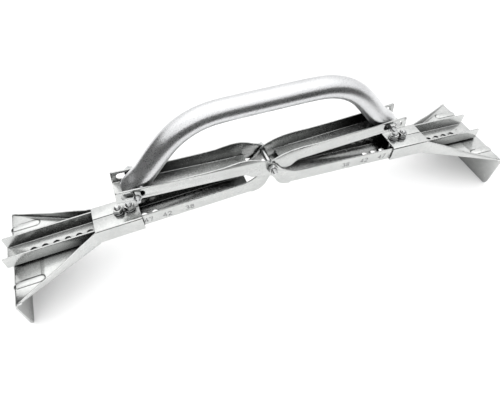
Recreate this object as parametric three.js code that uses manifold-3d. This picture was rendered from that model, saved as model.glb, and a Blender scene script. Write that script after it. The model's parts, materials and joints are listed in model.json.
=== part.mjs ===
// Hive-box lifting grip: two folded sheet-steel channel arms that cross on one
// pivot bolt, a bent tube handle bolted through slots in the arms' upper ends,
// and a folded gripping jaw bolted on each arm's lower rail.
// Millimetres, +Z up, +X from the left jaw to the right jaw.
import * as THREE from 'three';
import { mergeVertices } from 'three/addons/utils/BufferGeometryUtils.js';
import Module from 'manifold-3d';

const wasm = await Module();
wasm.setup();

// ---------------------------------------------------------------- dimensions
const SHEET = 1.2;            // steel sheet thickness
const GAP = 0.3;              // clearance between touching pieces
const ARM_TILT = 3.2;         // each arm's tilt at rest, degrees
const OUTER_W = 26.4;         // outside width of the outer arm
const INNER_W = OUTER_W - 2 * SHEET - 2 * GAP; // inner arm nests in it
const BEND_R = 2.0;           // outside radius of the folds
const UP_TOP = 10.3;          // upper channel: wall top edge
const UP_BOT = -3.0;          // upper channel: underside of the floor
const UP_END = 140;           // upper channel: open end
const UP_FLOOR_END = 28.5;    // where the upper floor stops near the pivot
const LOW_TOP = -12.5;        // lower rail: wall top edge
const LOW_BOT = -26.2;        // lower rail: underside of the floor
const LOW_END = 244;          // lower rail: open end
const LOW_FLOOR_START = 21;   // where the lower floor starts near the pivot
const BOLT_D = 5;             // pivot, handle and jaw bolts
const NUT_AF = 8;             // their heads and nuts, across flats
const BOLT_END = 4.6;         // how far the cross bolts stand out of their nuts
const HOLE_PITCH = 10;        // rail floor holes
const HOLE_FIRST = 112;
const HOLE_LAST = 222;
const HOLE_D = 5.8;
const OUTER_HUMP = 4.6;       // rise of the walls' top edge before the crossing
const INNER_HUMP = 1.8;
const OUTER_FLOOR = 19;       // how near to the pivot each upper channel's floor comes
const INNER_FLOOR = 12;
const SLOT_IN = 115.6;        // handle slot, inner and outer end
const SLOT_OUT = 135.6;
const SLOT_Z = 4.5;
const SLOT_H = 6.6;
const HANDLE_BOLT_U = 123;    // handle bolt position along the arm
const TUBE_D = 20;            // handle tube
const TUBE_WALL = 1.5;
const JAW_IN = 134.3;         // right jaw: sleeve's inner end
const JAW_SHIFT = -HOLE_PITCH; // left jaw is bolted one hole further in
const SLEEVE_LEN = 41.3;
const FAN_LEN = 75.5;
const FAN_HALF = 50.5;        // half the jaw's width at its outer edge
const FLANGE_DROP = 39.5;     // depth of the gripping flange
const FLANGE_LEAN = -1.0;     // its lean towards the box, degrees (negative leans away)
const BEAD_Y = 31.6;
const BEAD_LEN = 23;          // from the outer edge to the round end's centre
const BEAD_HALF = 3.8;
const BEAD_UP = 1.9;
const SEG = 12;

// ------------------------------------------------------------------- helpers
function solid(geometry) {
  let g = geometry.clone();
  g.deleteAttribute('normal');
  g.deleteAttribute('uv');
  g = mergeVertices(g, 1e-5);
  return new wasm.Manifold(new wasm.Mesh({
    numProp: 3,
    vertProperties: new Float32Array(g.attributes.position.array),
    triVerts: new Uint32Array(g.index.array),
  }));
}
function geometryOf(manifold) {
  const m = manifold.getMesh();
  const pos = new Float32Array((m.vertProperties.length / m.numProp) * 3);
  for (let i = 0; i < pos.length / 3; i++) {
    for (let k = 0; k < 3; k++) pos[3 * i + k] = m.vertProperties[m.numProp * i + k];
  }
  const g = new THREE.BufferGeometry();
  g.setAttribute('position', new THREE.BufferAttribute(pos, 3));
  g.setIndex(new THREE.BufferAttribute(new Uint32Array(m.triVerts), 1));
  g.computeVertexNormals();
  return g;
}
function box(x0, x1, y0, y1, z0, z1) {
  const g = new THREE.BoxGeometry(x1 - x0, y1 - y0, z1 - z0);
  g.translate((x0 + x1) / 2, (y0 + y1) / 2, (z0 + z1) / 2);
  return solid(g);
}
// a side profile (along the arm, up) extruded across it from y0 to y1
function sideProfile(points, y0, y1) {
  const shape = new THREE.Shape(points.map(([a, b]) => new THREE.Vector2(a, b)));
  const g = new THREE.ExtrudeGeometry(shape, { depth: y1 - y0, bevelEnabled: false });
  g.rotateX(Math.PI / 2);
  g.translate(0, y1, 0);
  return solid(g);
}
// a plan outline (along the arm, across) extruded from z0 to z1
function plan(points, z0, z1) {
  const shape = new THREE.Shape(points.map(([a, b]) => new THREE.Vector2(a, b)));
  const g = new THREE.ExtrudeGeometry(shape, { depth: z1 - z0, bevelEnabled: false });
  g.translate(0, 0, z0);
  return solid(g);
}
// a cross section (across the arm, up) extruded along it from x0 to x1
function section(points, x0, x1) {
  const shape = new THREE.Shape(points.map(([a, b]) => new THREE.Vector2(a, b)));
  const g = new THREE.ExtrudeGeometry(shape, { depth: x1 - x0, bevelEnabled: false });
  g.rotateX(Math.PI / 2);
  g.rotateZ(Math.PI / 2);
  g.translate(x0, 0, 0);
  return solid(g);
}
function cylY(u, z, d, y0, y1, seg = SEG) {
  const g = new THREE.CylinderGeometry(d / 2, d / 2, y1 - y0, seg);
  g.translate(u, (y0 + y1) / 2, z);
  return solid(g);
}
function cylZ(x, y, d, z0, z1, seg = SEG) {
  const g = new THREE.CylinderGeometry(d / 2, d / 2, z1 - z0, seg);
  g.rotateX(Math.PI / 2);
  g.translate(x, y, (z0 + z1) / 2);
  return solid(g);
}
// a stadium slot cutter across the arm
function slotY(u0, u1, z, h, y0, y1) {
  const r = h / 2;
  return box(u0 + r, u1 - r, y0, y1, z - r, z + r)
    .add(cylY(u0 + r, z, h, y0, y1, 20)).add(cylY(u1 - r, z, h, y0, y1, 20));
}
// U section with rounded outside and inside folds, open at the top
function channelSection(half, bottom, top, r) {
  const out = [];
  const arc = (cy, cz, rad, a0, a1, n) => {
    for (let i = 0; i <= n; i++) {
      const a = a0 + ((a1 - a0) * i) / n;
      out.push([cy + rad * Math.cos(a), cz + rad * Math.sin(a)]);
    }
  };
  out.push([-half, top]);
  arc(-half + r, bottom + r, r, Math.PI, 1.5 * Math.PI, 4);
  arc(half - r, bottom + r, r, 1.5 * Math.PI, 2 * Math.PI, 4);
  out.push([half, top]);
  out.push([half - SHEET, top]);
  const ri = Math.max(r - SHEET, 0.3);
  arc(half - SHEET - ri, bottom + SHEET + ri, ri, 0, -0.5 * Math.PI, 3);
  arc(-half + SHEET + ri, bottom + SHEET + ri, ri, -0.5 * Math.PI, -Math.PI, 3);
  out.push([-half + SHEET, top]);
  return out;
}
function mirrorX(manifold) {
  return manifold.scale([-1, 1, 1]);
}

// ---------------------------------------------------------------- materials
const zinc = (tone) => new THREE.MeshStandardMaterial({ color: tone, metalness: 0.9, roughness: 0.38 });
const plated = () => new THREE.MeshStandardMaterial({ color: 0xc9cdd0, metalness: 1.0, roughness: 0.22 });
function node(name, manifold, material) {
  const mesh = new THREE.Mesh(geometryOf(manifold), material);
  mesh.name = name;
  return mesh;
}

// ---------------------------------------------------------------------- arms
// Drawn with the upper channel to the left (-u) and the lower rail to the
// right (+u), the pivot at the origin. The inner arm is its mirror image.
const wallProfile = (hump) => [
  [-UP_END, UP_TOP - 1.2], [-UP_END + 1.2, UP_TOP], [-84, UP_TOP], [-62, UP_TOP + 0.16 * hump],
  [-46, UP_TOP + 0.42 * hump], [-38, UP_TOP + 0.76 * hump], [-31.5, UP_TOP + 0.98 * hump],
  [-26.5, UP_TOP + hump], [-21, UP_TOP + 0.86 * hump], [-15.5, UP_TOP + 0.5 * hump],
  [-10.5, UP_TOP + 0.12 * hump - 0.4], [-4, 8.0], [0, 6.0], [3.5, 3.0], [6.5, -0.4], [10.5, -4.4],
  [15.5, -7.9], [20.5, -10.6], [26, -12.1], [31, LOW_TOP],
  [LOW_END - 1.2, LOW_TOP], [LOW_END, LOW_TOP - 1.2],
  [LOW_END, LOW_BOT], [20, LOW_BOT], [13.5, -25.2], [9.2, -22.6], [6.0, -18.8], [3.8, -14.6],
  [1.2, -11.2], [-3.5, -9.0], [-12, -7.6], [-19.5, -6.4], [-23.2, -3.6], [-24.6, -3.0],
  [-26, -1.6], [-28, -1.4], [-UP_FLOOR_END, UP_BOT], [-UP_END, UP_BOT],
];
function arm(width, hump, floorReach) {
  const half = width / 2;
  const profile = wallProfile(hump);
  const walls = sideProfile(profile, -half, -half + SHEET)
    .add(sideProfile(profile, half - SHEET, half));
  // the folded channels, each clipped to the wall profile's own reach
  const upper = section(channelSection(half, UP_BOT, UP_TOP - 4, BEND_R), -UP_END, -UP_FLOOR_END);
  const lower = section(channelSection(half, LOW_BOT, LOW_TOP - 4, BEND_R), LOW_FLOOR_START, LOW_END);
  // take the square lower corners off the walls where the channels are folded
  const square = box(-UP_END - 1, -UP_FLOOR_END, -half - 1, half + 1, UP_BOT - 1, UP_BOT + BEND_R)
    .add(box(LOW_FLOOR_START, LOW_END + 1, -half - 1, half + 1, LOW_BOT - 1, LOW_BOT + BEND_R));
  let body = walls.subtract(square).add(upper).add(lower);
  if (floorReach < UP_FLOOR_END) {
    body = body.add(box(-UP_FLOOR_END - 1, -floorReach, -half + SHEET - 0.2, half - SHEET + 0.2, UP_BOT, UP_BOT + SHEET));
  }
  // pivot hole, handle slots, rail floor holes
  body = body.subtract(cylY(0, 0, BOLT_D + 0.8, -half - 1, half + 1, 24));
  body = body.subtract(slotY(-SLOT_OUT, -SLOT_IN, SLOT_Z, SLOT_H, -half - 1, half + 1));
  for (let u = HOLE_FIRST; u <= HOLE_LAST; u += HOLE_PITCH) {
    body = body.subtract(cylZ(u, 0, HOLE_D, LOW_BOT - 1, LOW_BOT + SHEET + 1, 12));
  }
  return body;
}

// ---------------------------------------------------------------------- jaws
// Drawn for the right side; both jaws are the same part. rail = widest rail it sleeves.
function jaw(rail) {
  const inHalf = rail / 2 + GAP;
  const half = inHalf + SHEET;
  const bot = LOW_BOT - GAP - SHEET;
  const top = LOW_TOP + GAP + SHEET;
  const s0 = JAW_IN;
  const s1 = s0 + SLEEVE_LEN;
  const s2 = s1 + FAN_LEN;
  const r = BEND_R;
  // sleeve: closed folded box with a seam down the middle of its top
  const ring = [];
  const arcTo = (list, cy, cz, rad, a0, a1, n) => {
    for (let i = 0; i <= n; i++) {
      const a = a0 + ((a1 - a0) * i) / n;
      list.push([cy + rad * Math.cos(a), cz + rad * Math.sin(a)]);
    }
  };
  const P = Math.PI;
  ring.push([-0.4, top]);
  arcTo(ring, -half + r, top - r, r, 0.5 * P, P, 4);
  arcTo(ring, -half + r, bot + r, r, P, 1.5 * P, 4);
  arcTo(ring, half - r, bot + r, r, 1.5 * P, 2 * P, 4);
  arcTo(ring, half - r, top - r, r, 0, 0.5 * P, 4);
  ring.push([0.4, top]);
  ring.push([0.4, top - SHEET]);
  const ri = r - SHEET;
  arcTo(ring, half - SHEET - ri, top - SHEET - ri, ri, 0.5 * P, 0, 3);
  arcTo(ring, half - SHEET - ri, bot + SHEET + ri, ri, 0, -0.5 * P, 3);
  arcTo(ring, -half + SHEET + ri, bot + SHEET + ri, ri, -0.5 * P, -P, 3);
  arcTo(ring, -half + SHEET + ri, top - SHEET - ri, ri, P, 0.5 * P, 3);
  ring.push([-0.4, top - SHEET]);
  let body = section(ring, s0, s1);
  // fan: flat bottom plate that spreads to the outer edge
  body = body.add(plan([
    [s1 - 1, -half + r], [s1 + 1, -half + 0.6], [s2 - 2, -FAN_HALF], [s2 - 2, FAN_HALF],
    [s1 + 1, half - 0.6], [s1 - 1, half - r],
  ], bot, bot + SHEET));
  // side flanges: full height at the sleeve, running out to nothing
  const dx = s2 - 2 - s1;
  const dy = FAN_HALF - half;
  const len = Math.hypot(dx, dy);
  const ang = Math.atan2(dy, dx);
  const h = top - bot;
  const side = sideProfile([
    [-0.6, 0], [len, 0], [len, SHEET + 0.4], [len * 0.86, 3.4], [len * 0.5, h * 0.42],
    [len * 0.22, h * 0.72], [5, h - 2.6], [-0.6, h - 1.0],
  ], -SHEET, 0);
  const rightFlange = side.rotate([0, 0, (ang * 180) / P]).translate([s1, half, bot]);
  body = body.add(rightFlange).add(rightFlange.scale([1, -1, 1]));
  // end flange: folded down from the fan's outer edge, leaning towards the box
  const bend = 3.2;
  const lean = (FLANGE_LEAN * P) / 180;
  const drop = [];
  for (let i = 0; i <= 5; i++) {
    const a = 0.5 * P - ((0.5 * P + lean) * i) / 5;
    drop.push([s2 - bend + bend * Math.cos(a), bot + SHEET - bend + bend * Math.sin(a)]);
  }
  const tip = [s2 - bend + bend * Math.cos(-lean) - FLANGE_DROP * Math.sin(lean), bot + SHEET - bend - FLANGE_DROP + bend];
  const inner = [];
  for (let i = 5; i >= 0; i--) {
    const a = 0.5 * P - ((0.5 * P + lean) * i) / 5;
    inner.push([s2 - bend + (bend - SHEET) * Math.cos(a), bot + SHEET - bend + (bend - SHEET) * Math.sin(a)]);
  }
  const fold = [[s2 - 6, bot + SHEET], ...drop, tip, [tip[0] - SHEET, tip[1] + 0.04], ...inner, [s2 - 6, bot]];
  // trimmed ends: square at the fold, slightly narrower and rounded at the tip
  const zt = bot + SHEET + 0.5;
  const zb = tip[1] - 0.5;
  const trimShape = [
    [-FAN_HALF, zt], [-FAN_HALF, bot - 4], [-FAN_HALF + 2.2, tip[1] + 5], [-FAN_HALF + 3.6, tip[1] + 1.6],
    [-FAN_HALF + 6.4, zb + 0.4], [-FAN_HALF + 7, zb], [FAN_HALF - 7, zb], [FAN_HALF - 6.4, zb + 0.4],
    [FAN_HALF - 3.6, tip[1] + 1.6], [FAN_HALF - 2.2, tip[1] + 5], [FAN_HALF, bot - 4], [FAN_HALF, zt],
  ];
  const flange = sideProfile(fold, -FAN_HALF, FAN_HALF).intersect(section(trimShape, s2 - 20, s2 + 10));
  body = body.add(flange);
  // pressed beads that stiffen the fold: low ribs with a round inner end
  for (const sy of [-1, 1]) {
    const ribProfile = [];
    for (let i = 0; i <= 8; i++) {
      const a = (P * i) / 8;
      ribProfile.push([sy * BEAD_Y + BEAD_HALF * Math.cos(a), bot + SHEET - 0.3 + BEAD_UP * Math.pow(Math.sin(a), 0.7)]);
    }
    if (sy > 0) ribProfile.reverse();
    const rib = section(ribProfile, s2 - BEAD_LEN, s2 - bend + 0.4);
    const end = new THREE.SphereGeometry(1, 16, 10);
    end.scale(BEAD_HALF, BEAD_HALF, BEAD_UP);
    end.translate(s2 - BEAD_LEN, sy * BEAD_Y, bot + SHEET - 0.3);
    const over = new THREE.SphereGeometry(1, 16, 10);
    over.scale(4.2, BEAD_HALF * 0.97, 5.2);
    over.translate(s2 - 3.0, sy * BEAD_Y, bot + SHEET - 3.9);
    const keep = box(s2 - BEAD_LEN - 9, s2 + 3, sy * BEAD_Y - 6, sy * BEAD_Y + 6, bot + 0.2, bot + 8)
      .add(box(s2 - 1.0, s2 + 3, sy * BEAD_Y - 6, sy * BEAD_Y + 6, bot - 9, bot + 1));
    body = body.add(rib).add(solid(end).add(solid(over)).intersect(keep));
  }
  // bolt holes through the bottom plate and the top flaps
  for (const s of jawBoltStations()) body = body.subtract(cylZ(s, 0, HOLE_D, bot - 1, top + 1, 14));
  return body;
}
function jawBoltStations() {
  return [142, 152];
}

// ----------------------------------------------------------------- fasteners
// hexagon nut or head on the Z axis from z0 to z1, corners chamfered
function hex(af, z0, z1, bore, chamferTop, chamferBottom) {
  const g = new THREE.CylinderGeometry(af / Math.sqrt(3), af / Math.sqrt(3), z1 - z0, 6);
  g.rotateX(Math.PI / 2);
  g.translate(0, 0, (z0 + z1) / 2);
  const R = af / Math.sqrt(3);
  const c = 0.7;
  const cone = new THREE.LatheGeometry([
    new THREE.Vector2(0, z0), new THREE.Vector2(chamferBottom ? R - c : R + 0.2, z0),
    new THREE.Vector2(R + 0.2, z0 + (chamferBottom ? c * 0.75 : 0.01)),
    new THREE.Vector2(R + 0.2, z1 - (chamferTop ? c * 0.75 : 0.01)),
    new THREE.Vector2(chamferTop ? R - c : R + 0.2, z1), new THREE.Vector2(0, z1),
  ], 24);
  cone.rotateX(Math.PI / 2);
  let s = solid(g).intersect(latheZ([
    [0, z0], [chamferBottom ? R - c : R + 0.2, z0], [R + 0.2, z0 + (chamferBottom ? c * 0.75 : 0)],
    [R + 0.2, z1 - (chamferTop ? c * 0.75 : 0)], [chamferTop ? R - c : R + 0.2, z1], [0, z1],
  ], 24));
  if (bore) s = s.subtract(cylZ(0, 0, bore, z0 - 1, z1 + 1, 12));
  return s;
}
// solid of revolution about Z from (radius, z) pairs that start and end on the axis
function latheZ(pairs, seg) {
  const clean = pairs.filter((p, i) => i === 0 || Math.hypot(p[0] - pairs[i - 1][0], p[1] - pairs[i - 1][1]) > 1e-6);
  const g = new THREE.LatheGeometry(clean.map(([r, z]) => new THREE.Vector2(r, z)), seg);
  g.rotateX(Math.PI / 2);
  g.deleteAttribute('normal');
  g.deleteAttribute('uv');
  const merged = mergeVertices(g, 1e-4);
  // drop the collapsed triangles on the axis
  const idx = merged.index.array;
  const keep = [];
  for (let i = 0; i < idx.length; i += 3) {
    if (idx[i] !== idx[i + 1] && idx[i + 1] !== idx[i + 2] && idx[i] !== idx[i + 2]) keep.push(idx[i], idx[i + 1], idx[i + 2]);
  }
  let m = new wasm.Manifold(new wasm.Mesh({
    numProp: 3, vertProperties: new Float32Array(merged.attributes.position.array), triVerts: new Uint32Array(keep),
  }));
  if (m.volume() < 0) {
    for (let i = 0; i < keep.length; i += 3) [keep[i], keep[i + 1]] = [keep[i + 1], keep[i]];
    m = new wasm.Manifold(new wasm.Mesh({
      numProp: 3, vertProperties: new Float32Array(merged.attributes.position.array), triVerts: new Uint32Array(keep),
    }));
  }
  return m;
}
// bolt on the Z axis: head below z = 0, shank up to z = length
function bolt(d, af, headH, length) {
  const shank = latheZ([[0, -0.5], [d / 2, -0.5], [d / 2, length - 0.8], [d / 2 - 0.6, length], [0, length]], SEG);
  return hex(af, -headH, 0, 0, false, true).add(shank);
}
function washer(outer, bore, z0, z1) {
  return cylZ(0, 0, outer, z0, z1, 16).subtract(cylZ(0, 0, bore, z0 - 1, z1 + 1, 12));
}
// stand a Z-axis fastener across the arm: its +Z end points to -Y
function across(m) {
  return m.rotate([90, 0, 0]);
}
// one cross-bolt set through a channel of the given outside width
function crossSet(width, u, z) {
  const half = width / 2;
  const wash = 1.0;
  const nut = 4.0;
  const yHead = half + GAP + wash + GAP;      // underside of the head, far side
  const length = yHead + half + GAP + nut + BOLT_END;
  const at = (m, y) => across(m).translate([u, y, z]);
  return {
    bolt: at(bolt(BOLT_D, NUT_AF, 3.5, length), yHead),
    washer: at(washer(10, BOLT_D + 0.7, 0, wash), half + GAP + wash),
    nut: at(hex(NUT_AF, 0, nut, BOLT_D + 0.7, true, true).rotate([0, 0, 12]), -half - GAP),
  };
}

// -------------------------------------------------------------------- handle
const tilt = (ARM_TILT * Math.PI) / 180;
function worldOfArm(u, z, sign) {
  // sign +1: arm with its rail to the right
  return [u * Math.cos(tilt) + sign * z * Math.sin(tilt), -sign * u * Math.sin(tilt) + z * Math.cos(tilt)];
}
const [BOLT_X, BOLT_Z] = (() => {
  const [x, z] = worldOfArm(-HANDLE_BOLT_U, SLOT_Z, 1);
  return [-x, z];
})();
function handleTube() {
  const crown = 66.8;
  const right = [
    [0, crown], [30, crown], [52, crown - 0.9], [66, crown - 4.6], [78, crown - 10.6], [88, crown - 18.4],
    [96.5, crown - 27.6], [104.5, crown - 37.2], [113, crown - 47.6],
    [BOLT_X, BOLT_Z], [BOLT_X + 9.5, BOLT_Z - 11.6],
  ];
  const pts = [];
  for (let i = right.length - 1; i > 0; i--) pts.push(new THREE.Vector3(-right[i][0], 0, right[i][1]));
  for (const [x, z] of right) pts.push(new THREE.Vector3(x, 0, z));
  const path = new THREE.CatmullRomCurve3(pts, false, 'centripetal');
  const ringShape = (r) => {
    const s = new THREE.Shape();
    s.absarc(0, 0, r, 0, Math.PI * 2, false);
    return s;
  };
  const sweep = (r, steps) => solid(new THREE.ExtrudeGeometry(ringShape(r), {
    steps, bevelEnabled: false, extrudePath: path, curveSegments: 8,
  }));
  let body = sweep(TUBE_D / 2, 40).subtract(sweep(TUBE_D / 2 - TUBE_WALL, 40));
  // cut each end level with its channel's floor, leaving room to swing
  for (const sign of [-1, 1]) {
    const cutter = box(-40, 40, -20, 20, -40, SLOT_Z - 4.1)
      .rotate([0, sign < 0 ? ARM_TILT : -ARM_TILT, 0]);
    const [cx, cz] = worldOfArm(sign * HANDLE_BOLT_U, 0, -sign);
    body = body.subtract(cutter.translate([cx, 0, cz]));
    body = body.subtract(cylY(sign * BOLT_X, BOLT_Z, BOLT_D + 0.8, -20, 20, 16));
    // outer corner bevelled off so that it clears the channel's end
    body = body.subtract(box(BOLT_X + 10.5, BOLT_X + 60, -20, 20, BOLT_Z - 40, BOLT_Z + 40).scale([sign, 1, 1]));
  }
  return body;
}

// ------------------------------------------------------------------ assembly
const lifter = new THREE.Group();
const standing = new THREE.Group();
lifter.add(standing);

const outerGroup = new THREE.Group();   // outer arm: rail to the right
outerGroup.rotation.y = tilt;
const innerGroup = new THREE.Group();   // inner arm: rail to the left
innerGroup.rotation.y = -tilt;
const levelGroup = new THREE.Group();
standing.add(outerGroup, innerGroup, levelGroup);

outerGroup.add(node('outer_arm', arm(OUTER_W, OUTER_HUMP, OUTER_FLOOR), zinc(0xc7cbce)));
innerGroup.add(node('inner_arm', mirrorX(arm(INNER_W, INNER_HUMP, INNER_FLOOR)), zinc(0xbfc4c8)));
outerGroup.add(node('jaw_right', jaw(OUTER_W), zinc(0xcdd1d4)));
innerGroup.add(node('jaw_left', mirrorX(jaw(OUTER_W).translate([JAW_SHIFT, 0, 0])), zinc(0xcdd1d4)));

// pivot set
const pivot = crossSet(OUTER_W, 0, 0);
levelGroup.add(node('pivot_bolt', pivot.bolt, plated()));
levelGroup.add(node('pivot_washer', pivot.washer, plated()));
levelGroup.add(node('pivot_nut', pivot.nut, plated()));

// handle and its two cross-bolt sets
levelGroup.add(node('handle_tube', handleTube(), new THREE.MeshStandardMaterial({ color: 0xd2d5d7, metalness: 1.0, roughness: 0.3 })));
for (const [side, sign, width] of [['left', -1, OUTER_W], ['right', 1, INNER_W]]) {
  const set = crossSet(width, sign * BOLT_X, BOLT_Z);
  levelGroup.add(node('handle_bolt_' + side, set.bolt, plated()));
  levelGroup.add(node('handle_washer_' + side, set.washer, plated()));
  levelGroup.add(node('handle_nut_' + side, set.nut, plated()));
}

// jaw bolts: heads under the sleeve, nuts on the seam
const sleeveBot = LOW_BOT - GAP - SHEET;
const sleeveTop = LOW_TOP + GAP + SHEET;
for (const [side, group, sign, shift] of [['left', innerGroup, -1, JAW_SHIFT], ['right', outerGroup, 1, 0]]) {
  jawBoltStations().forEach((s, i) => {
    const which = (i === 0 ? 'inner_' : 'outer_') + side;
    const x = sign * (s + shift);
    const length = sleeveTop - sleeveBot + GAP + GAP + 1 + GAP + 4 + 2.6;
    const place = (m, z) => m.translate([x, 0, z]);
    group.add(node('jaw_bolt_' + which, place(bolt(BOLT_D, 8, 3.5, length), sleeveBot - GAP), plated()));
    group.add(node('jaw_washer_' + which, place(washer(9.6, BOLT_D + 0.7, 0, 1), sleeveTop + GAP), plated()));
    group.add(node('jaw_nut_' + which, place(hex(8, 0, 4, BOLT_D + 0.7, true, true).rotate([0, 0, 14 + 22 * i]), sleeveTop + GAP + 1 + GAP), plated()));
  });
}

// stand the grip on its jaw tips, centred over the origin
standing.updateMatrixWorld(true);
const reach = new THREE.Box3().setFromObject(standing, true);
standing.position.set(-(reach.min.x + reach.max.x) / 2, -(reach.min.y + reach.max.y) / 2, -reach.min.z);

export default lifter;
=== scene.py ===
# Hive-box lifting grip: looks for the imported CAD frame.
import json
import math

import bmesh
import bpy
from mathutils import Matrix, Vector


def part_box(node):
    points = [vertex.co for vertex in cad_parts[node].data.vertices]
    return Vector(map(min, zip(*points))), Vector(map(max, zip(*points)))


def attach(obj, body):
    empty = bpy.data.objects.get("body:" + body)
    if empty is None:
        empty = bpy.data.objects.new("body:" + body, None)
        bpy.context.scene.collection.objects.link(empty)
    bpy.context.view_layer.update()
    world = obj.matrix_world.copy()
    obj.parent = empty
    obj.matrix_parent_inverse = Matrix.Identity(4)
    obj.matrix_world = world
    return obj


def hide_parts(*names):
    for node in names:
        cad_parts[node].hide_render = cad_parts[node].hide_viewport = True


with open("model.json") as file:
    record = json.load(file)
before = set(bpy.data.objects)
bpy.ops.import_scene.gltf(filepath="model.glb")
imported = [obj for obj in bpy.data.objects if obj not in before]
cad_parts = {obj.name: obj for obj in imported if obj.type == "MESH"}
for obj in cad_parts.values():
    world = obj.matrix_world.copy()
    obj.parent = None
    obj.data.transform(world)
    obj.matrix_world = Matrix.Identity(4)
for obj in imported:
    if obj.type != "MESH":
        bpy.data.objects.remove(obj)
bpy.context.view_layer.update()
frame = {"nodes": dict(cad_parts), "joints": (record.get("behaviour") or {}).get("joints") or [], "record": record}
NODES = frame["nodes"]
MM = 0.001

# ------------------------------------------------------------ shared frame
# the pivot's place in the row frame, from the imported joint, and the arms' tilt
PIVOT = Vector(next(j for j in frame["joints"] if j["name"] == "arm_pivot")["pos_m"])
TILT = math.radians(3.2)


def arm_matrix(side):
    """Arm coordinates (mm along the arm from the pivot, outwards on that side; y; up) to the row frame."""
    s = 1 if side == "right" else -1
    c, n = math.cos(TILT), math.sin(TILT)
    # outwards axis, row Y, up axis
    out = Vector((s * c, 0, -n))
    up = Vector((s * n, 0, c))
    m = Matrix(((out.x, 0, up.x, PIVOT.x), (0, 1, 0, PIVOT.y), (out.z, 0, up.z, PIVOT.z), (0, 0, 0, 1)))
    return m @ Matrix.Scale(MM, 4)


# ---------------------------------------------------------------- materials
def new_material(name):
    m = bpy.data.materials.new(name)
    m.use_nodes = True
    nt = m.node_tree
    nt.nodes.clear()
    out = nt.nodes.new("ShaderNodeOutputMaterial")
    b = nt.nodes.new("ShaderNodeBsdfPrincipled")
    nt.links.new(b.outputs[0], out.inputs[0])
    return m, nt, b


def link(nt, a, b):
    nt.links.new(a, b)


def math_node(nt, op, a, b=None, clamp=False):
    n = nt.nodes.new("ShaderNodeMath")
    n.operation = op
    n.use_clamp = clamp
    for i, v in enumerate((a, b)):
        if v is None:
            continue
        if isinstance(v, (int, float)):
            n.inputs[i].default_value = v
        else:
            link(nt, v, n.inputs[i])
    return n.outputs[0]


def ramp(nt, fac, stops):
    r = nt.nodes.new("ShaderNodeValToRGB")
    el = r.color_ramp.elements
    el[0].position, el[0].color = stops[0][0], (*stops[0][1], 1)
    el[1].position, el[1].color = stops[-1][0], (*stops[-1][1], 1)
    for p, c in stops[1:-1]:
        e = el.new(p)
        e.color = (*c, 1)
    link(nt, fac, r.inputs[0])
    return r.outputs[0]


def mix_color(nt, fac, a, b, mode="MIX"):
    n = nt.nodes.new("ShaderNodeMix")
    n.data_type = "RGBA"
    n.blend_type = mode
    for i, v in ((0, fac), (6, a), (7, b)):
        if isinstance(v, (int, float)):
            n.inputs[i].default_value = v
        elif isinstance(v, tuple):
            n.inputs[i].default_value = (*v, 1)
        else:
            link(nt, v, n.inputs[i])
    return n.outputs[2]


def noise(nt, vec, scale, detail=4, rough=0.55):
    n = nt.nodes.new("ShaderNodeTexNoise")
    n.inputs["Scale"].default_value = scale
    n.inputs["Detail"].default_value = detail
    n.inputs["Roughness"].default_value = rough
    link(nt, vec, n.inputs["Vector"])
    return n.outputs[0]


def mapped(nt, scale=(1, 1, 1), rot=(0, 0, 0)):
    tc = nt.nodes.new("ShaderNodeTexCoord")
    mp = nt.nodes.new("ShaderNodeMapping")
    mp.inputs["Scale"].default_value = scale
    mp.inputs["Rotation"].default_value = rot
    link(nt, tc.outputs["Object"], mp.inputs["Vector"])
    return mp.outputs[0]


def edge_wear(nt):
    """Bright worn edges: where a wide rounded normal differs from the true one."""
    bev = nt.nodes.new("ShaderNodeBevel")
    bev.samples = 6
    bev.inputs["Radius"].default_value = 0.0007
    geo = nt.nodes.new("ShaderNodeNewGeometry")
    dot = nt.nodes.new("ShaderNodeVectorMath")
    dot.operation = "DOT_PRODUCT"
    link(nt, bev.outputs[0], dot.inputs[0])
    link(nt, geo.outputs["Normal"], dot.inputs[1])
    inv = math_node(nt, "SUBTRACT", 1.0, dot.outputs["Value"])
    return math_node(nt, "MULTIPLY", inv, 2.6, clamp=True)


def painted_crevice_shade(nt, reach, stops):
    """Painted shade: darkens the colour in folds, holes and between pieces, by how enclosed the surface is."""
    ao = nt.nodes.new("ShaderNodeAmbientOcclusion")
    ao.samples = 8
    ao.inputs["Distance"].default_value = reach
    return ramp(nt, ao.outputs["AO"], [(p, (v, v, v * 0.985)) for p, v in stops])


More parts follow.
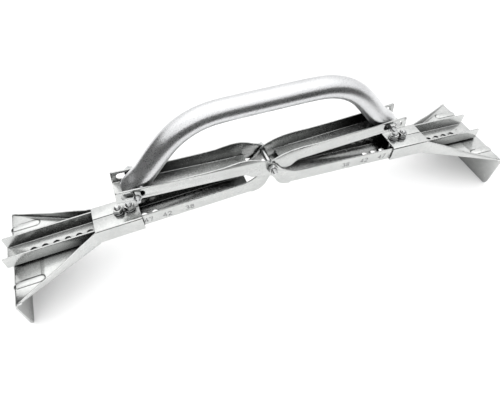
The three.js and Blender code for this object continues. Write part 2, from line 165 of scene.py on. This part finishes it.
def galvanised(name, tone=1.0, seed=0.0, grain=(1, 1, 1), rough=0.3, spangle=0.0022):
    m, nt, b = new_material(name)
    vec = mapped(nt)
    add = nt.nodes.new("ShaderNodeVectorMath")
    add.operation = "ADD"
    add.inputs[1].default_value = (seed, seed * 0.7, seed * 1.3)
    link(nt, vec, add.inputs[0])
    v = add.outputs[0]
    # zinc spangle: crystals a few millimetres across, each a slightly different tone and gloss
    warp = noise(nt, v, 260, 3)
    warp_v = nt.nodes.new("ShaderNodeVectorMath")
    warp_v.operation = "MULTIPLY_ADD"
    warp_v.inputs[1].default_value = (0.0018, 0.0018, 0.0018)
    cmb = nt.nodes.new("ShaderNodeCombineXYZ")
    for i in range(3):
        link(nt, warp, cmb.inputs[i])
    link(nt, cmb.outputs[0], warp_v.inputs[0])
    link(nt, v, warp_v.inputs[2])
    vor = nt.nodes.new("ShaderNodeTexVoronoi")
    vor.inputs["Scale"].default_value = 1.0 / spangle
    vor.inputs["Randomness"].default_value = 1.0
    link(nt, warp_v.outputs[0], vor.inputs["Vector"])
    sep = nt.nodes.new("ShaderNodeSeparateColor")
    link(nt, vor.outputs["Color"], sep.inputs[0])
    cell = sep.outputs[0]
    cloud = noise(nt, v, 26, 5, 0.6)
    fine = noise(nt, v, 900, 4, 0.6)
    # rolling marks drawn along the strip
    roll_vec = mapped(nt, scale=grain)
    roll = noise(nt, roll_vec, 60, 4, 0.6)
    base = ramp(nt, cell, [(0.0, (0.685 * tone, 0.695 * tone, 0.695 * tone)), (0.5, (0.72 * tone, 0.73 * tone, 0.73 * tone)), (1.0, (0.755 * tone, 0.762 * tone, 0.76 * tone))])
    stain = ramp(nt, cloud, [(0.28, (0.80, 0.81, 0.81)), (0.55, (1, 1, 1)), (0.75, (0.95, 0.965, 0.98))])
    col = mix_color(nt, 0.55, base, stain, "MULTIPLY")
    rl = ramp(nt, roll, [(0.3, (0.90, 0.90, 0.905)), (0.62, (1, 1, 1))])
    col = mix_color(nt, 0.45, col, rl, "MULTIPLY")
    # painted shade: the zinc colour darkened where the surface is enclosed (folds, holes, between pieces)
    painted_shade = painted_crevice_shade(nt, 0.05, [(0.10, 0.05), (0.26, 0.17), (0.42, 0.56), (0.70, 1.0)])
    col = mix_color(nt, 0.95, col, painted_shade, "MULTIPLY")
    wear = edge_wear(nt)
    col = mix_color(nt, math_node(nt, "MULTIPLY", wear, 0.7), col, (0.86, 0.865, 0.87))
    link(nt, col, b.inputs["Base Color"])
    b.inputs["Metallic"].default_value = 1.0
    r1 = math_node(nt, "MULTIPLY_ADD", cell, 0.06)
    r1.node.inputs[2].default_value = rough - 0.05
    r2 = math_node(nt, "MULTIPLY_ADD", cloud, 0.16)
    link(nt, r1, r2.node.inputs[2])
    r3 = math_node(nt, "MULTIPLY_ADD", fine, 0.03)
    link(nt, r2, r3.node.inputs[2])
    r4 = math_node(nt, "SUBTRACT", r3, 0.10)
    link(nt, r4, b.inputs["Roughness"])
    # bump: crystal facets, rolling marks, grain; the edges are eased by the rounded normal
    h1 = math_node(nt, "MULTIPLY", cell, 0.12)
    h2 = math_node(nt, "MULTIPLY_ADD", roll, 0.5)
    link(nt, h1, h2.node.inputs[2])
    h3 = math_node(nt, "MULTIPLY_ADD", fine, 0.12)
    link(nt, h2, h3.node.inputs[2])
    bev = nt.nodes.new("ShaderNodeBevel")
    bev.samples = 6
    bev.inputs["Radius"].default_value = 0.00045
    bump = nt.nodes.new("ShaderNodeBump")
    bump.inputs["Strength"].default_value = 0.16
    bump.inputs["Distance"].default_value = 0.00006
    link(nt, h3, bump.inputs["Height"])
    link(nt, bev.outputs[0], bump.inputs["Normal"])
    link(nt, bump.outputs[0], b.inputs["Normal"])
    return m


def satin_tube(name):
    m, nt, b = new_material(name)
    v = mapped(nt)
    speck = noise(nt, v, 1500, 3, 0.7)
    cloud = noise(nt, v, 30, 4, 0.55)
    scr_v = mapped(nt, scale=(0.25, 3.0, 1.0))
    scr = noise(nt, scr_v, 420, 3, 0.6)
    col = ramp(nt, cloud, [(0.3, (0.66, 0.665, 0.67)), (0.7, (0.735, 0.74, 0.745))])
    col2 = ramp(nt, speck, [(0.34, (0.55, 0.55, 0.56)), (0.6, (1, 1, 1))])
    col = mix_color(nt, 0.6, col, col2, "MULTIPLY")
    link(nt, col, b.inputs["Base Color"])
    b.inputs["Metallic"].default_value = 1.0
    r = math_node(nt, "MULTIPLY_ADD", speck, 0.28)
    r.node.inputs[2].default_value = 0.11
    r2 = math_node(nt, "MULTIPLY_ADD", cloud, 0.08)
    link(nt, r, r2.node.inputs[2])
    link(nt, r2, b.inputs["Roughness"])
    h = math_node(nt, "MULTIPLY_ADD", scr, 0.25)
    link(nt, speck, h.node.inputs[2])
    bump = nt.nodes.new("ShaderNodeBump")
    bump.inputs["Strength"].default_value = 0.35
    bump.inputs["Distance"].default_value = 0.00016
    link(nt, h, bump.inputs["Height"])
    link(nt, bump.outputs[0], b.inputs["Normal"])
    return m


def plated(name, warm=0.0):
    m, nt, b = new_material(name)
    v = mapped(nt)
    cloud = noise(nt, v, 180, 4, 0.6)
    fine = noise(nt, v, 2400, 3, 0.6)
    col = ramp(nt, cloud, [(0.3, (0.34, 0.35, 0.36)), (0.65, (0.62 + warm, 0.625 + warm * 0.8, 0.63))])
    # painted shade: the plating colour darkened where the surface is enclosed
    painted_shade = painted_crevice_shade(nt, 0.009, [(0.25, 0.05), (0.6, 0.42), (0.88, 1.0)])
    col = mix_color(nt, 0.85, col, painted_shade, "MULTIPLY")
    wear = edge_wear(nt)
    col = mix_color(nt, math_node(nt, "MULTIPLY", wear, 0.6), col, (0.92, 0.925, 0.93))
    link(nt, col, b.inputs["Base Color"])
    b.inputs["Metallic"].default_value = 1.0
    r = math_node(nt, "MULTIPLY_ADD", cloud, 0.16)
    r.node.inputs[2].default_value = 0.08
    link(nt, r, b.inputs["Roughness"])
    bev = nt.nodes.new("ShaderNodeBevel")
    bev.samples = 6
    bev.inputs["Radius"].default_value = 0.00025
    bump = nt.nodes.new("ShaderNodeBump")
    bump.inputs["Strength"].default_value = 0.12
    bump.inputs["Distance"].default_value = 0.00005
    link(nt, fine, bump.inputs["Height"])
    link(nt, bev.outputs[0], bump.inputs["Normal"])
    link(nt, bump.outputs[0], b.inputs["Normal"])
    return m


def stamped(name):
    """Recessed, slightly burnished steel inside a punched figure."""
    m, nt, b = new_material(name)
    v = mapped(nt)
    cloud = noise(nt, v, 500, 3, 0.6)
    col = ramp(nt, cloud, [(0.3, (0.10, 0.102, 0.105)), (0.7, (0.22, 0.222, 0.225))])
    link(nt, col, b.inputs["Base Color"])
    b.inputs["Metallic"].default_value = 1.0
    b.inputs["Roughness"].default_value = 0.42
    bump = nt.nodes.new("ShaderNodeBump")
    bump.inputs["Strength"].default_value = 0.2
    bump.inputs["Distance"].default_value = 0.00005
    link(nt, cloud, bump.inputs["Height"])
    link(nt, bump.outputs[0], b.inputs["Normal"])
    return m


MAT = {
    "outer": galvanised("zinc_outer_arm", 0.82, 0.0, (0.12, 1.0, 1.6), 0.27),
    "inner": galvanised("zinc_inner_arm", 0.80, 3.1, (0.12, 1.0, 1.6), 0.27),
    "jaw_l": galvanised("zinc_jaw_left", 0.83, 5.7, (0.2, 0.8, 1.0), 0.26),
    "jaw_r": galvanised("zinc_jaw_right", 0.83, 8.3, (0.2, 0.8, 1.0), 0.26),
    "tube": satin_tube("satin_tube"),
    "bolt": plated("plated_bolt"),
    "nut": plated("plated_nut", 0.01),
    "washer": plated("plated_washer"),
    "stamp": stamped("stamped_figure"),
}


def dress(node, material):
    o = NODES[node]
    o.data.materials.clear()
    o.data.materials.append(material)


dress("outer_arm", MAT["outer"])
dress("inner_arm", MAT["inner"])
dress("jaw_left", MAT["jaw_l"])
dress("jaw_right", MAT["jaw_r"])


def bevelled_sheet(node, material, body, width=0.00016):
    """The same sheet with its cut edges eased, as it is after deburring and dipping."""
    src = NODES[node]
    bm = bmesh.new()
    bm.from_mesh(src.data)
    bm.transform(src.matrix_world)
    bmesh.ops.remove_doubles(bm, verts=bm.verts, dist=2e-6)
    bmesh.ops.dissolve_limit(bm, angle_limit=math.radians(0.6), verts=bm.verts, edges=bm.edges)
    me = bpy.data.meshes.new(node + "_fine")
    bm.to_mesh(me)
    bm.free()
    o = bpy.data.objects.new(node + "_fine", me)
    bpy.context.scene.collection.objects.link(o)
    mod = o.modifiers.new("ease", "BEVEL")
    mod.width = width
    mod.segments = 2
    mod.limit_method = "ANGLE"
    mod.angle_limit = math.radians(38)
    mod.use_clamp_overlap = True
    bpy.context.view_layer.update()
    done = bpy.data.meshes.new_from_object(o.evaluated_get(bpy.context.evaluated_depsgraph_get()))
    o.modifiers.clear()
    o.data = done
    bpy.data.meshes.remove(me)
    done.name = node + "_fine"
    done.materials.clear()
    done.materials.append(material)
    for p in done.polygons:
        p.use_smooth = True
        p.material_index = 0
    done.set_sharp_from_angle(angle=math.radians(38))
    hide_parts(node)
    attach(o, body)
    return o


bevelled_sheet("outer_arm", MAT["outer"], "outer_arm")
bevelled_sheet("inner_arm", MAT["inner"], "inner_arm")
bevelled_sheet("jaw_left", MAT["jaw_l"], "inner_arm")
bevelled_sheet("jaw_right", MAT["jaw_r"], "outer_arm")


# ------------------------------------------------------------- mesh helpers
def mesh_object(name, bm, material, smooth_angle=35):
    bmesh.ops.remove_doubles(bm, verts=bm.verts, dist=1e-7)
    bmesh.ops.recalc_face_normals(bm, faces=bm.faces)
    me = bpy.data.meshes.new(name)
    bm.to_mesh(me)
    bm.free()
    o = bpy.data.objects.new(name, me)
    bpy.context.scene.collection.objects.link(o)
    me.materials.append(material)
    for p in me.polygons:
        p.use_smooth = True
    me.set_sharp_from_angle(angle=math.radians(smooth_angle))
    return o


def lathe(bm, pairs, seg, matrix):
    """Closed surface of revolution about Z; pairs of (radius, z) start and end on the axis or join up."""
    rings = []
    for r, z in pairs:
        if r < 1e-9:
            rings.append([bm.verts.new(matrix @ Vector((0, 0, z)))])
        else:
            rings.append([bm.verts.new(matrix @ Vector((r * math.cos(2 * math.pi * i / seg), r * math.sin(2 * math.pi * i / seg), z))) for i in range(seg)])
    for a, b in zip(rings, rings[1:]):
        for i in range(seg):
            j = (i + 1) % seg
            if len(a) == 1 and len(b) == 1:
                continue
            if len(a) == 1:
                bm.faces.new((a[0], b[j], b[i]))
            elif len(b) == 1:
                bm.faces.new((a[i], a[j], b[0]))
            else:
                bm.faces.new((a[i], a[j], b[j], b[i]))


def hexed(bm, af, z0, z1, bore, matrix, phase=0.0, top=True, bottom=True, domed=False):
    """Hexagon with the two chamfers that turn its corners into arcs, finely cut, round bore through."""
    seg = 72
    R = af / math.sqrt(3)
    ap = af / 2

    def hex_r(a):
        k = (a - phase) % (math.pi / 3)
        return ap / math.cos(k - math.pi / 6)

    def chamfer_drop(r):
        return max(0.0, (r - ap * 0.985)) * 0.62

    def ring(z, fn):
        return [bm.verts.new(matrix @ Vector((fn(a) * math.cos(a), fn(a) * math.sin(a), z(fn(a))))) for a in (phase + 2 * math.pi * i / seg for i in range(seg))]

    loops = []
    if bore:
        loops.append(ring(lambda r: z0 + 0.35, lambda a: bore / 2))
        loops.append(ring(lambda r: z0, lambda a: bore / 2 + 0.35))
    loops.append(ring(lambda r: z0, lambda a: ap * 0.93))
    loops.append(ring(lambda r: z0 + (chamfer_drop(r) if bottom else 0), hex_r))
    loops.append(ring(lambda r: z1 - (chamfer_drop(r) if top else 0), hex_r))
    loops.append(ring(lambda r: z1 + (0.12 if domed else 0), lambda a: ap * 0.93))
    if bore:
        loops.append(ring(lambda r: z1, lambda a: bore / 2 + 0.35))
        loops.append(ring(lambda r: z1 - 0.35, lambda a: bore / 2))
    for a, b in zip(loops, loops[1:]):
        for i in range(seg):
            j = (i + 1) % seg
            bm.faces.new((a[i], a[j], b[j], b[i]))
    if bore:
        a, b = loops[-1], loops[0]
        for i in range(seg):
            j = (i + 1) % seg
            bm.faces.new((a[i], a[j], b[j], b[i]))
    else:
        bm.faces.new(loops[0][::-1])
        bm.faces.new(loops[-1])


def threaded(bm, d, z0, z1, matrix, pitch=0.8, start_plain=0.0):
    """Screw end: a real helical thread from z0 + start_plain to z1, with a chamfered tip."""
    seg = 28
    r_out, r_in = d / 2, d / 2 - 0.42
    per = 4
    steps = int(math.ceil((z1 - z0) / (pitch / per)))
    rings = [[bm.verts.new(matrix @ Vector((0, 0, z0)))]]
    for k in range(steps + 1):
        z = z0 + (z1 - z0) * k / steps
        row = []
        for i in range(seg):
            a = 2 * math.pi * i / seg
            ph = ((z - z0) / pitch - i / seg) % 1.0
            tri = 1 - abs(2 * ph - 1)
            r = r_in + (r_out - r_in) * min(1.0, tri * 1.35)
            if z < z0 + start_plain:
                r = r_out
            fade = min(1.0, (z1 - z) / 0.7)
            r = min(r, r_out - 0.75 * (1 - fade))
            row.append(bm.verts.new(matrix @ Vector((r * math.cos(a), r * math.sin(a), z))))
        rings.append(row)
    rings.append([bm.verts.new(matrix @ Vector((0, 0, z1)))])
    for a, b in zip(rings, rings[1:]):
        for i in range(seg):
            j = (i + 1) % seg
            if len(a) == 1:
                bm.faces.new((a[0], b[j], b[i]))
            elif len(b) == 1:
                bm.faces.new((a[i], a[j], b[0]))
            else:
                bm.faces.new((a[i], a[j], b[j], b[i]))


# --------------------------------------------------------------- fasteners
NUT_AF = 8.0
BODY_OF = {}
for body, members in frame["record"]["behaviour"]["bodies"].items():
    for n in members:
        BODY_OF[n] = body


def frame_along(origin, axis, twist=0.0):
    """Matrix whose Z runs along axis from origin, in millimetres."""
    z = Vector(axis).normalized()
    x = Vector((1, 0, 0)) if abs(z.x) < 0.9 else Vector((0, 0, 1))
    y = z.cross(x).normalized()
    x = y.cross(z).normalized()
    m = Matrix(((x.x, y.x, z.x, origin.x), (x.y, y.y, z.y, origin.y), (x.z, y.z, z.z, origin.z), (0, 0, 0, 1)))
    return m @ Matrix.Scale(MM, 4) @ Matrix.Rotation(twist, 4, "Z")


def make_bolt(node, matrix, length, head=3.5):
    bm = bmesh.new()
    hexed(bm, NUT_AF, -head, 0, 0, matrix, math.radians(7), top=False, bottom=True)
    o_head = bm
    threaded(bm, 4.9, -0.2, length, matrix, start_plain=max(0.0, length - 16))
    piece = mesh_object(node + "_fine", o_head, MAT["bolt"])
    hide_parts(node)
    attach(piece, BODY_OF[node])
    return piece


def make_nut(node, matrix, z0, height, twist):
    bm = bmesh.new()
    hexed(bm, NUT_AF, z0, z0 + height, 5.35, matrix, twist)
    piece = mesh_object(node + "_fine", bm, MAT["nut"])
    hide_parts(node)
    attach(piece, BODY_OF[node])
    return piece


def make_washer(node, matrix, outer, z0, z1):
    bm = bmesh.new()
    ro, ri, e = outer / 2, 5.7 / 2, 0.16
    lathe(bm, [(ri, z0 + e), (ri + e, z0), (ro - e, z0), (ro, z0 + e), (ro, z1 - e), (ro - e, z1), (ri + e, z1), (ri, z1 - e), (ri, z0 + e)], 56, matrix)
    piece = mesh_object(node + "_fine", bm, MAT["washer"])
    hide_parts(node)
    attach(piece, BODY_OF[node])
    return piece


def centre(node):
    lo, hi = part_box(node)
    return (lo + hi) / 2


def cross_set(prefix, suffix, width, twist):
    names = [prefix + "_bolt" + suffix, prefix + "_washer" + suffix, prefix + "_nut" + suffix]
    c = centre(names[0])
    half = width / 2
    y_head = half + 0.3 + 1.0 + 0.3
    lo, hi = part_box(names[0])
    length = y_head - lo.y / MM
    m = frame_along(Vector((c.x, y_head * MM, c.z)), (0, -1, 0))
    make_bolt(names[0], m, length)
    make_washer(names[1], m, 10, 0.3, 1.3)
    make_nut(names[2], m, y_head + half + 0.3, 4.0, twist)


OUTER_W, SHEET = 26.4, 1.2
INNER_W = OUTER_W - 2 * SHEET - 0.6
cross_set("pivot", "", OUTER_W, math.radians(20))
cross_set("handle", "_left", OUTER_W, math.radians(41))
cross_set("handle", "_right", INNER_W, math.radians(3))

LOW_BOT, LOW_TOP = -26.2, -12.5
sleeve_bot, sleeve_top = LOW_BOT - 0.3 - SHEET, LOW_TOP + 0.3 + SHEET
for side, shift in (("right", 0), ("left", -10)):
    A = arm_matrix(side)
    for i, (which, s) in enumerate((("inner", 142 + shift), ("outer", 152 + shift))):
        base = A @ Vector((s, 0, sleeve_bot - 0.3))
        up = (A.to_3x3() @ Vector((0, 0, 1))).normalized()
        m = frame_along(base, up)
        length = sleeve_top - sleeve_bot + 0.3 + 0.3 + 1 + 0.3 + 4 + 2.6
        make_bolt("jaw_bolt_%s_%s" % (which, side), m, length)
        z_w = sleeve_top - sleeve_bot + 0.3 + 0.3
        make_washer("jaw_washer_%s_%s" % (which, side), m, 9.6, z_w, z_w + 1)
        make_nut("jaw_nut_%s_%s" % (which, side), m, z_w + 1.3, 4.0, math.radians(14 + 22 * i))


# ------------------------------------------------------------------- handle
def catmull(points, alpha=0.5, per=14):
    """Centripetal Catmull-Rom, the same curve the frame's tube follows."""
    pts = [2 * points[0] - points[1], *points, 2 * points[-1] - points[-2]]
    out = []
    for i in range(1, len(pts) - 2):
        p0, p1, p2, p3 = pts[i - 1], pts[i], pts[i + 1], pts[i + 2]
        t0 = 0.0
        t1 = t0 + (p1 - p0).length ** alpha
        t2 = t1 + (p2 - p1).length ** alpha
        t3 = t2 + (p3 - p2).length ** alpha
        for k in range(per):
            t = t1 + (t2 - t1) * k / per
            a1 = (t1 - t) / (t1 - t0) * p0 + (t - t0) / (t1 - t0) * p1
            a2 = (t2 - t) / (t2 - t1) * p1 + (t - t1) / (t2 - t1) * p2
            a3 = (t3 - t) / (t3 - t2) * p2 + (t - t2) / (t3 - t2) * p3
            b1 = (t2 - t) / (t2 - t0) * a1 + (t - t0) / (t2 - t0) * a2
            b2 = (t3 - t) / (t3 - t1) * a2 + (t - t1) / (t3 - t1) * a3
            out.append((t2 - t) / (t2 - t1) * b1 + (t - t1) / (t2 - t1) * b2)
    out.append(points[-1])
    return out


def smooth_handle():
    bx, bz = centre("handle_bolt_right").x - PIVOT.x, centre("handle_bolt_right").z - PIVOT.z
    bx, bz = bx / MM, bz / MM
    crown = 66.8
    right = [(0, crown), (30, crown), (52, crown - 0.9), (66, crown - 4.6), (78, crown - 10.6), (88, crown - 18.4), (96.5, crown - 27.6), (104.5, crown - 37.2), (113, crown - 47.6), (bx, bz), (bx + 9.5, bz - 11.6)]
    pts = [Vector((-x, 0, z)) for x, z in right[::-1][:-1]] + [Vector((x, 0, z)) for x, z in right]
    path = catmull(pts)
    # even out the steps, then ease the curvature
    for _ in range(30):
        path = [path[0]] + [(path[i - 1] + 2 * path[i] + path[i + 1]) / 4 for i in range(1, len(path) - 1)] + [path[-1]]

    seg = 72
    bm = bmesh.new()

    def rings(radius):
        out = []
        for i, p in enumerate(path):
            t = (path[min(i + 1, len(path) - 1)] - path[max(i - 1, 0)]).normalized()
            n = Vector((-t.z, 0, t.x))
            out.append([bm.verts.new(p + n * radius * math.cos(2 * math.pi * k / seg) + Vector((0, radius * math.sin(2 * math.pi * k / seg), 0))) for k in range(seg)])
        return out

    outside, inside = rings(9.97), rings(8.5)
    for rows in (outside, inside):
        for ra, rb in zip(rows, rows[1:]):
            for k in range(seg):
                j = (k + 1) % seg
                bm.faces.new((ra[k], ra[j], rb[j], rb[k]))
    for e in (0, -1):
        for k in range(seg):
            j = (k + 1) % seg
            bm.faces.new((outside[e][k], outside[e][j], inside[e][j], inside[e][k]))
    bmesh.ops.recalc_face_normals(bm, faces=bm.faces)

    def cut(point, normal):
        """Take away what lies on the normal's side and close the section."""
        geom = bm.verts[:] + bm.edges[:] + bm.faces[:]
        got = bmesh.ops.bisect_plane(bm, geom=geom, dist=1e-5, plane_co=point, plane_no=normal, clear_outer=True)
        edges = [g for g in got["geom_cut"] if isinstance(g, bmesh.types.BMEdge) and g.is_valid]
        if edges:
            bmesh.ops.triangle_fill(bm, edges=edges, use_beauty=True, normal=normal)

    for sign in (-1, 1):
        # end face over the channel's floor, then the outer corner
        u, h = 123.0, 4.5 - 4.1
        c, n = math.cos(TILT), math.sin(TILT)
        up = Vector((-sign * n, 0, c))
        cut(Vector((sign * u * c, 0, u * n)) + up * h, -up)
        cut(Vector((sign * (bx + 10.5), 0, bz)), Vector((sign, 0, 0)))
    bmesh.ops.recalc_face_normals(bm, faces=bm.faces)
    me = bpy.data.meshes.new("handle_cut")
    bm.to_mesh(me)
    bm.free()
    tube = bpy.data.objects.new("handle_cut", me)
    bpy.context.scene.collection.objects.link(tube)
    bores = []
    for sign in (-1, 1):
        bm = bmesh.new()
        bmesh.ops.create_cone(bm, cap_ends=True, segments=40, radius1=2.95, radius2=2.95, depth=50, matrix=Matrix.Translation((sign * bx, 0, bz)) @ Matrix.Rotation(math.pi / 2, 4, "X"))
        cm = bpy.data.meshes.new("bore_cut")
        bm.to_mesh(cm)
        bm.free()
        co = bpy.data.objects.new("bore_cut", cm)
        bpy.context.scene.collection.objects.link(co)
        bores.append(co)
        mod = tube.modifiers.new("bore", "BOOLEAN")
        mod.operation = "DIFFERENCE"
        mod.solver = "EXACT"
        mod.object = co
    bpy.context.view_layer.update()
    dg = bpy.context.evaluated_depsgraph_get()
    me = bpy.data.meshes.new_from_object(tube.evaluated_get(dg))
    print("handle faces", len(tube.data.polygons), "after the bores", len(me.polygons))
    for o in [tube, *bores]:
        bpy.data.objects.remove(o)
    me.transform(Matrix.Translation(PIVOT) @ Matrix.Scale(MM, 4))
    me.name = "handle_fine"
    o = bpy.data.objects.new("handle_fine", me)
    bpy.context.scene.collection.objects.link(o)
    me.materials.clear()
    me.materials.append(MAT["tube"])
    for p in me.polygons:
        p.use_smooth = True
    me.set_sharp_from_angle(angle=math.radians(32))
    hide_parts("handle_tube")
    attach(o, BODY_OF["handle_tube"])
    return o


smooth_handle()

# ------------------------------------------------------- stamped size figures
# seven-stroke figures punched into the near wall of each rail: (width, height) 1 x 1.6
STROKES = {
    "2": [[(0.02, 1.25), (0.15, 1.5), (0.5, 1.6), (0.85, 1.5), (0.98, 1.2), (0.85, 0.85), (0.0, 0.0)], [(0.0, 0.0), (1.0, 0.0)]],
    "3": [[(0.05, 1.45), (0.45, 1.6), (0.88, 1.45), (0.9, 1.05), (0.45, 0.85)], [(0.45, 0.85), (0.95, 0.7), (0.97, 0.25), (0.5, 0.0), (0.03, 0.15)]],
    "4": [[(0.72, 0.0), (0.72, 1.6), (0.0, 0.5), (1.0, 0.5)]],
    "7": [[(0.0, 1.6), (1.0, 1.6), (0.4, 0.0)]],
    "8": [[(0.5, 0.86), (0.1, 1.05), (0.1, 1.42), (0.5, 1.6), (0.9, 1.42), (0.9, 1.05), (0.5, 0.86), (0.05, 0.6), (0.05, 0.18), (0.5, 0.0), (0.95, 0.18), (0.95, 0.6), (0.5, 0.86)]],
}


def figure(bm, text, matrix, size, y, mirror):
    """Strokes laid on the wall as thin slivers a hair proud of it."""
    w = size / 1.6
    x0 = -(len(text) * w + (len(text) - 1) * w * 0.45) / 2
    for k, ch in enumerate(text):
        ox = x0 + k * w * 1.45
        for line in STROKES[ch]:
            for (ax, az), (bx, bz) in zip(line, line[1:]):
                a = Vector((ox + ax * w, az * size / 1.6 - size / 2))
                b = Vector((ox + bx * w, bz * size / 1.6 - size / 2))
                d = (b - a)
                if d.length < 1e-6:
                    continue
                d.normalize()
                n = Vector((-d.y, d.x)) * 0.24
                a = a - d * 0.2
                b = b + d * 0.2
                quad = [a - n, b - n, b + n, a + n]
                if mirror:
                    quad = [Vector((-q.x, q.y)) for q in quad]
                lo = [bm.verts.new(matrix @ Vector((q.x, y + 0.02, q.y))) for q in quad]
                hi = [bm.verts.new(matrix @ Vector((q.x, y - 0.05, q.y))) for q in quad]
                bm.faces.new(lo)
                bm.faces.new(hi[::-1])
                for i in range(4):
                    j = (i + 1) % 4
                    bm.faces.new((lo[i], hi[i], hi[j], lo[j]))


for side, body, half in (("left", "inner_arm", INNER_W / 2), ("right", "outer_arm", OUTER_W / 2)):
    A = arm_matrix(side)
    for text, s in (("38", 81.0), ("42", 102.0), ("47", 122.6)):
        if side == "left" and text == "47":
            s = 119.2
        m = A @ Matrix.Translation((s, 0, (LOW_TOP + LOW_BOT) / 2 - 0.3))
        bm = bmesh.new()
        figure(bm, text, m, 5.0, -half, side == "left")
        # keep each stroke as its own closed sliver: no merging across strokes
        bmesh.ops.recalc_face_normals(bm, faces=bm.faces)
        me = bpy.data.meshes.new("mark_%s_%s" % (text, side))
        bm.to_mesh(me)
        bm.free()
        o = bpy.data.objects.new("mark_%s_%s" % (text, side), me)
        bpy.context.scene.collection.objects.link(o)
        me.materials.append(MAT["stamp"])
        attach(o, body)

# -------------------------------------------------------------------- stage
bm = bmesh.new()
bmesh.ops.create_grid(bm, x_segments=1, y_segments=1, size=12)
me = bpy.data.meshes.new("floor")
bm.to_mesh(me)
bm.free()
floor = bpy.data.objects.new("floor", me)
bpy.context.scene.collection.objects.link(floor)
fm, fnt, fb = new_material("floor_white")
fb.inputs["Base Color"].default_value = (0.92, 0.92, 0.92, 1)
fb.inputs["Roughness"].default_value = 0.9
fb.inputs["Specular IOR Level"].default_value = 0.1
me.materials.append(fm)

world = bpy.data.worlds.new("studio")
world.use_nodes = True
wn = world.node_tree
wn.nodes.clear()
wo = wn.nodes.new("ShaderNodeOutputWorld")
bg = wn.nodes.new("ShaderNodeBackground")
tc = wn.nodes.new("ShaderNodeTexCoord")
sp = wn.nodes.new("ShaderNodeSeparateXYZ")
wn.links.new(tc.outputs["Generated"], sp.inputs[0])
wr = wn.nodes.new("ShaderNodeValToRGB")
el = wr.color_ramp.elements
el[0].position, el[0].color = 0.0, (0.66, 0.66, 0.665, 1)
el[1].position, el[1].color = 0.72, (1, 1, 1, 1)
wn.links.new(sp.outputs["Z"], wr.inputs[0])
wn.links.new(wr.outputs[0], bg.inputs[0])
bg.inputs["Strength"].default_value = 1.45
wn.links.new(bg.outputs[0], wo.inputs[0])
bpy.context.scene.world = world


def area(name, loc, target, size, power, size_y=None, color=(1, 1, 1)):
    l = bpy.data.lights.new(name, "AREA")
    l.energy = power
    l.shape = "RECTANGLE"
    l.size = size
    l.size_y = size_y or size
    l.color = color
    o = bpy.data.objects.new(name, l)
    o.location = loc
    o.rotation_mode = "QUATERNION"
    o.rotation_quaternion = (Vector(target) - Vector(loc)).to_track_quat("-Z", "Y")
    bpy.context.scene.collection.objects.link(o)
    return o


area("top", (0.05, 0.05, 1.3), (0, 0, 0.05), 2.4, 4, 1.6)
area("front", (-0.25, -1.3, 0.45), (0, 0, 0.07), 1.4, 2.5, 0.6)
area("left", (-1.4, -0.2, 0.5), (0, 0, 0.07), 0.8, 1.5, 0.7)

# dark cards behind the view, so that the far inside walls and the tube's belly have something dark to mirror
def card(name, centre_, normal, w, h, tone=0.02):
    bm = bmesh.new()
    bmesh.ops.create_grid(bm, x_segments=1, y_segments=1, size=0.5)
    me = bpy.data.meshes.new(name)
    bm.to_mesh(me)
    bm.free()
    o = bpy.data.objects.new(name, me)
    o.scale = (w, h, 1)
    o.location = centre_
    o.rotation_mode = "QUATERNION"
    o.rotation_quaternion = Vector(normal).to_track_quat("Z", "Y")
    bpy.context.scene.collection.objects.link(o)
    mt, nt2, b2 = new_material(name + "_card")
    b2.inputs["Base Color"].default_value = (tone, tone, tone, 1)
    b2.inputs["Roughness"].default_value = 0.8
    me.materials.append(mt)
    o.visible_camera = False
    o.visible_diffuse = False
    o.visible_shadow = False
    return o


card("front_low", (0, -0.62, 0.20), (0, 1, 0), 2.6, 0.40)
card("front_ground", (0, -0.40, 0.004), (0, 0, 1), 2.6, 0.44)
card("left_low", (-0.62, 0.0, 0.2), (1, 0, 0), 1.2, 0.4)

# ------------------------------------------------------------------- camera
# set from the measured view: focal length in image widths, place relative to the pivot
CAM = {"az": 20.69, "el": 49.37, "roll": 0.22, "f": 456.4, "dist": 460.9, "tx": -16.6, "tz": -55.2, "dz": -2.0}
az, el, roll = (math.radians(CAM[k]) for k in ("az", "el", "roll"))
back = Vector((-math.sin(az) * math.cos(el), -math.cos(az) * math.cos(el), math.sin(el)))
target = PIVOT + Vector((CAM["tx"], 0, CAM["tz"] - CAM["dz"])) * MM
cam_data = bpy.data.cameras.new("camera")
cam_data.sensor_width = 36
cam_data.lens = CAM["f"] / 500 * 36
cam_data.clip_start = 0.01
cam_data.clip_end = 50
cam = bpy.data.objects.new("camera", cam_data)
fwd = -back
right_v = fwd.cross(Vector((0, 0, 1))).normalized()
up_v = right_v.cross(fwd)
r2 = math.cos(roll) * right_v + math.sin(roll) * up_v
u2 = -math.sin(roll) * right_v + math.cos(roll) * up_v
cam.matrix_world = Matrix(((r2.x, u2.x, back.x, 0), (r2.y, u2.y, back.y, 0), (r2.z, u2.z, back.z, 0), (0, 0, 0, 1)))
cam.location = target + back * CAM["dist"] * MM
bpy.context.scene.collection.objects.link(cam)
bpy.context.scene.camera = cam
bpy.context.scene.view_settings.view_transform = "Standard"
bpy.context.scene.view_settings.exposure = 0.0
